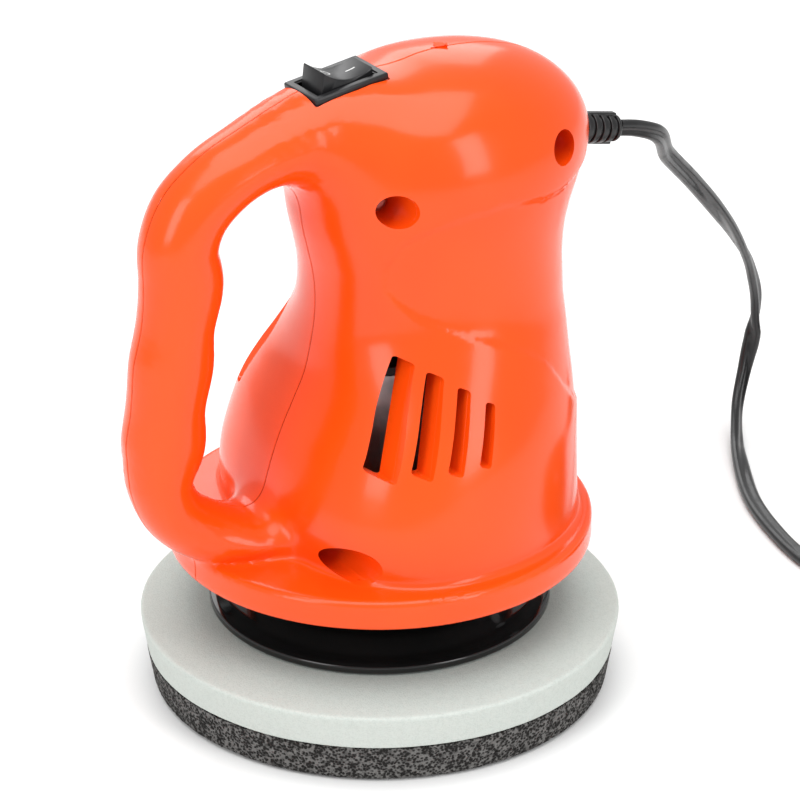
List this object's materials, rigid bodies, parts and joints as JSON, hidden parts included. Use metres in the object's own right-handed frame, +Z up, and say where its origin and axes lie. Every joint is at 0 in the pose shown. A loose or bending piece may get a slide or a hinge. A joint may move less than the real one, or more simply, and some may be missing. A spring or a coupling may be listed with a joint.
{
  "type": "rotary polisher",
  "caption": "Hand-held rotary car polisher: orange clamshell body with loop handle, rocker switch, foam pad on a spinning plate and a lead with a vehicle plug.",
  "frame": {"origin": "centre of the foam pad's working face, on the spindle's axis", "axes": "+Z up along the spindle towards the body, +X from the loop handle to the cord outlet, +Y across the tool"},
  "size_m": [0.3077, 0.1598, 0.1702],
  "materials": {
    "shell_orange": "glossy moulded ABS",
    "black_plastic": "moulded, satin",
    "plate_black": "glossy moulded disc",
    "switch_black": "satin moulded nylon",
    "foam_white": "closed-cell foam, fine skin",
    "foam_grey": "open-cell foam, coarse pores",
    "steel": "ground",
    "zinc_steel": "zinc plated",
    "copper": "bare metal",
    "magnet": "sintered ferrite",
    "carbon": "carbon",
    "fan_plastic": "moulded nylon",
    "cord_black": "soft PVC"
  },
  "bodies": {
    "housing": {"shell_right": "shell_orange", "shell_left": "shell_orange", "base_cover": "black_plastic", "motor_can": "zinc_steel", "motor_end_cap": "black_plastic", "lower_bearing": "steel", "upper_bearing": "steel", "magnet_1": "magnet", "magnet_2": "magnet", "brush_1": "carbon", "brush_2": "carbon", "motor_screw_1": "zinc_steel", "motor_screw_2": "zinc_steel", "cover_screw_1": "zinc_steel", "cover_screw_2": "zinc_steel", "cover_screw_3": "zinc_steel", "cover_screw_4": "zinc_steel", "shell_screw_middle": "zinc_steel", "shell_screw_rear": "zinc_steel", "shell_screw_low": "zinc_steel", "switch_housing": "switch_black", "switch_terminal_1": "copper", "switch_terminal_2": "copper", "strain_relief": "cord_black", "cord": "cord_black", "cord_tail": "cord_black", "cord_coil": "cord_black", "cord_tie": "cord_black", "plug_body": "black_plastic", "plug_tip": "steel"},
    "spindle": {"backing_plate": "plate_black", "drive_hub": "black_plastic", "foam_upper": "foam_white", "foam_lower": "foam_grey", "motor_shaft": "steel", "rotor_core": "copper", "commutator": "copper", "cooling_fan": "fan_plastic", "plate_screw": "zinc_steel"},
    "rocker": {"switch_rocker": "switch_black"}
  },
  "joints": [
    {"name": "pad_spin", "type": "hinge", "parent": "housing", "child": "spindle", "pos_m": [0, 0, 0.0475], "axis": [0, 0, 1], "continuous": true},
    {"name": "switch_rock", "type": "hinge", "parent": "housing", "child": "rocker", "pos_m": [-0.0119, 0, 0.16462], "axis": [0, 1, 0], "range_deg": [-26, 0]}
  ]
}
